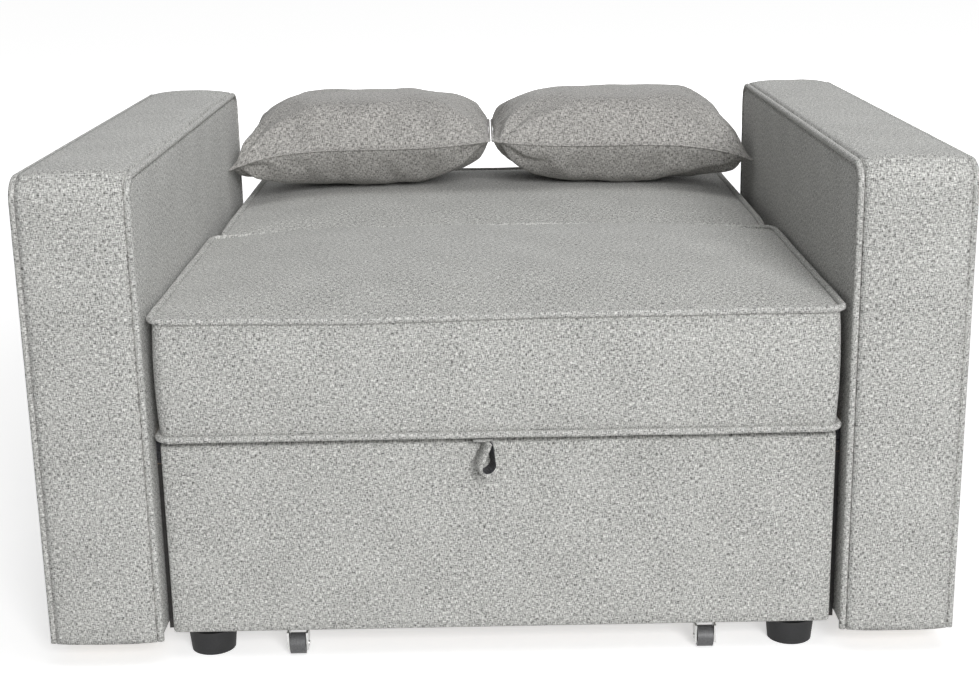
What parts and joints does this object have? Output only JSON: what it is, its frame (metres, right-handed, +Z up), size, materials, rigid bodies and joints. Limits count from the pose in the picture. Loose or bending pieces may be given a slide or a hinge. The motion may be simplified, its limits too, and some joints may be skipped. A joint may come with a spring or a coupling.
{
  "type": "convertible chair bed",
  "caption": "Upholstered chair with wide box arms, a box seat cushion, a backrest that folds flat, loose pillows and a pull-out drawer with a mattress.",
  "frame": {"origin": "on the floor, at the middle of the footprint with the backrest laid flat", "axes": "+Z up, the chair faces -Y, +X to the right as seen from the front"},
  "size_m": [1.1, 1.0719, 0.602],
  "materials": {
    "upholstery": "matt linen-look weave, heathered light grey",
    "pillow_fabric": "matt linen-look weave, heathered light grey",
    "mattress_fabric": "matt linen-look weave, heathered light grey",
    "webbing": "elastic webbing, matt",
    "timber": "planed pine, raw",
    "plywood": "raw plywood",
    "dark_board": "plywood stained black",
    "black_steel": "black powder coat",
    "zinc_steel": "bright zinc plate",
    "black_plastic": "matt",
    "nylon": "satin nylon"
  },
  "bodies": {
    "base": {"left_arm_frame": "plywood", "left_arm_boxing": "upholstery", "left_arm_inner_side": "upholstery", "left_arm_outer_side": "upholstery", "left_arm_piping": "upholstery", "left_base_board": "dark_board", "front_left_foot": "black_plastic", "rear_left_foot": "black_plastic", "left_runner": "zinc_steel", "left_hinge_plate": "black_steel", "right_arm_frame": "plywood", "right_arm_boxing": "upholstery", "right_arm_inner_side": "upholstery", "right_arm_outer_side": "upholstery", "right_arm_piping": "upholstery", "right_base_board": "dark_board", "front_right_foot": "black_plastic", "rear_right_foot": "black_plastic", "right_runner": "zinc_steel", "right_hinge_plate": "black_steel", "rear_base_board": "dark_board", "corner_blocks": "dark_board", "seat_frame": "timber", "seat_webbing": "webbing", "seat_cushion": "upholstery", "seat_piping": "upholstery", "arm_bolts": "zinc_steel", "hinge_plate_bolts": "zinc_steel"},
    "drawer": {"front_panel_board": "plywood", "front_panel_cover": "upholstery", "pull_strap": "upholstery", "drawer_left_rail": "timber", "drawer_right_rail": "timber", "drawer_cross_rails": "timber", "left_caster_fork": "zinc_steel", "right_caster_fork": "zinc_steel", "caster_screws": "zinc_steel", "caster_axles": "zinc_steel", "roller_axles": "zinc_steel", "lift_links": "black_steel", "lift_pins": "zinc_steel", "platform_frame": "black_steel", "platform_slats": "timber", "pull_out_mattress": "mattress_fabric"},
    "backrest": {"back_frame": "timber", "back_webbing": "webbing", "back_cushion": "upholstery", "back_piping": "upholstery", "back_rear_panel": "upholstery", "back_frame_band": "upholstery", "left_hinge_arm": "black_steel", "right_hinge_arm": "black_steel", "hinge_pins": "zinc_steel", "hinge_arm_bolts": "zinc_steel"},
    "left_caster_wheel": {"left_caster_wheel": "nylon"},
    "left_roller": {"left_roller": "nylon"},
    "left_pillow": {"left_pillow": "pillow_fabric"},
    "right_caster_wheel": {"right_caster_wheel": "nylon"},
    "right_roller": {"right_roller": "nylon"},
    "right_pillow": {"right_pillow": "pillow_fabric"}
  },
  "joints": [
    {"name": "drawer_slide", "type": "slide", "parent": "base", "child": "drawer", "axis": [0, -1, 0], "range_m": [0, 0.72]},
    {"name": "backrest_tilt", "type": "hinge", "parent": "base", "child": "backrest", "pos_m": [0, 0.002, 0.41], "axis": [1, 0, 0], "range_deg": [0, 78]},
    {"name": "left_caster_spin", "type": "hinge", "parent": "drawer", "child": "left_caster_wheel", "pos_m": [-0.251, -0.49, 0.013], "axis": [1, 0, 0], "continuous": true},
    {"name": "left_roller_spin", "type": "hinge", "parent": "drawer", "child": "left_roller", "pos_m": [-0.3822, 0.2745, 0.084], "axis": [1, 0, 0], "continuous": true},
    {"name": "left_pillow_lift", "type": "slide", "parent": "backrest", "child": "left_pillow", "axis": [0, 0, 1], "range_m": [0, 0.3]},
    {"name": "right_caster_spin", "type": "hinge", "parent": "drawer", "child": "right_caster_wheel", "pos_m": [0.251, -0.49, 0.013], "axis": [1, 0, 0], "continuous": true},
    {"name": "right_roller_spin", "type": "hinge", "parent": "drawer", "child": "right_roller", "pos_m": [0.3822, 0.2745, 0.084], "axis": [1, 0, 0], "continuous": true},
    {"name": "right_pillow_lift", "type": "slide", "parent": "backrest", "child": "right_pillow", "axis": [0, 0, 1], "range_m": [0, 0.3]}
  ]
}
